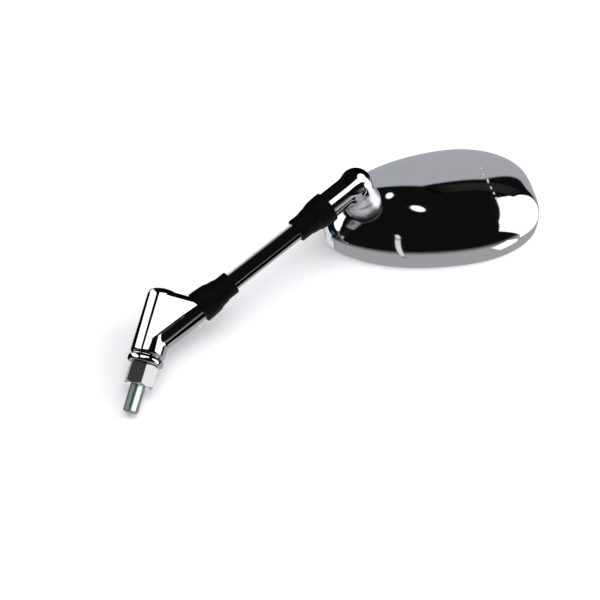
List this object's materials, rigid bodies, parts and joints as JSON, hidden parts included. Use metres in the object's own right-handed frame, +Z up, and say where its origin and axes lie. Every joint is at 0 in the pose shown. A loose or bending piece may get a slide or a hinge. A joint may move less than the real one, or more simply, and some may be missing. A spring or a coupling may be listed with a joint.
{
  "type": "motorcycle mirror",
  "caption": "Chromed motorcycle rear-view mirror: threaded stud with lock nut, angled elbow, round stem with rubber boots, ball-jointed drop-shaped head with convex glass.",
  "frame": {"origin": "on the stud's axis at the lower face of the lock nut, where the mirror seats on its perch", "axes": "+Z up along the stud and the elbow's tower; +X toward the side the stem leans to; the glass looks roughly along +Y and the chromed back along -Y"},
  "size_m": [0.2394, 0.0704, 0.2482],
  "materials": {
    "chrome": "polished, with faint handling haze",
    "boot_rubber": "smooth moulded, half gloss",
    "zinc_steel": "zinc plated thread",
    "plated_nut": "plated, slightly duller flats",
    "dark_spring": "oiled spring steel",
    "nylon": "natural nylon",
    "carrier_plastic": "moulded, fine grain",
    "foam": "closed-cell foam",
    "mirror_silver": "silvered convex glass",
    "gasket_rubber": "matt"
  },
  "bodies": {
    "base": {"stud": "zinc_steel", "elbow": "chrome"},
    "lock_nut": {"lock_nut": "plated_nut"},
    "stem": {"stem_rod": "chrome"},
    "lower_nut": {"lower_jam_nut": "zinc_steel"},
    "upper_nut": {"upper_jam_nut": "zinc_steel"},
    "lower_boot": {"lower_boot": "boot_rubber"},
    "upper_boot": {"upper_boot": "boot_rubber"},
    "knuckle": {"knuckle": "chrome", "pivot_screw": "zinc_steel"},
    "cup": {"pressure_cup": "zinc_steel", "disc_springs": "dark_spring", "pivot_washer": "zinc_steel"},
    "ring": {"friction_ring": "nylon"},
    "head": {"back_shell": "chrome", "carrier_plate": "carrier_plastic", "carrier_screws": "zinc_steel", "glass_pad": "foam", "mirror_glass": "mirror_silver", "glass_gasket": "gasket_rubber"}
  },
  "joints": [
    {"name": "lock_nut_turn", "type": "hinge", "parent": "base", "child": "lock_nut", "pos_m": [0, 0, 0.007], "axis": [0, 0, 1], "continuous": true},
    {"name": "stem_swivel", "type": "hinge", "parent": "base", "child": "stem", "pos_m": [0.02381, 0, 0.05887], "axis": [0.5878, 0, 0.809], "range_deg": [-90, 90]},
    {"name": "lower_nut_turn", "type": "hinge", "parent": "stem", "child": "lower_nut", "pos_m": [0.02575, 0, 0.06153], "axis": [0.5878, 0, 0.809], "continuous": true},
    {"name": "upper_nut_turn", "type": "hinge", "parent": "stem", "child": "upper_nut", "pos_m": [0.08358, 0, 0.14114], "axis": [0.5878, 0, 0.809], "continuous": true},
    {"name": "lower_boot_slide", "type": "slide", "parent": "stem", "child": "lower_boot", "axis": [0.5878, 0, 0.809], "range_m": [0, 0.02]},
    {"name": "upper_boot_slide", "type": "slide", "parent": "stem", "child": "upper_boot", "axis": [-0.5878, 0, -0.809], "range_m": [0, 0.02]},
    {"name": "knuckle_swivel", "type": "hinge", "parent": "stem", "child": "knuckle", "pos_m": [0.08552, 0, 0.14381], "axis": [0.5878, 0, 0.809], "range_deg": [-90, 90]},
    {"name": "head_spin", "type": "hinge", "parent": "knuckle", "child": "cup", "pos_m": [0.10748, 0.01429, 0.16], "axis": [0.4045, 0.866, -0.2939], "range_deg": [-30, 30]},
    {"name": "head_tilt", "type": "hinge", "parent": "cup", "child": "ring", "pos_m": [0.10748, 0.01429, 0.16], "axis": [0.8538, -0.2424, 0.4608], "range_deg": [-11, 11]},
    {"name": "head_pan", "type": "hinge", "parent": "ring", "child": "head", "pos_m": [0.10748, 0.01429, 0.16], "axis": [0.3278, -0.4373, -0.8374], "range_deg": [-11, 11]}
  ]
}
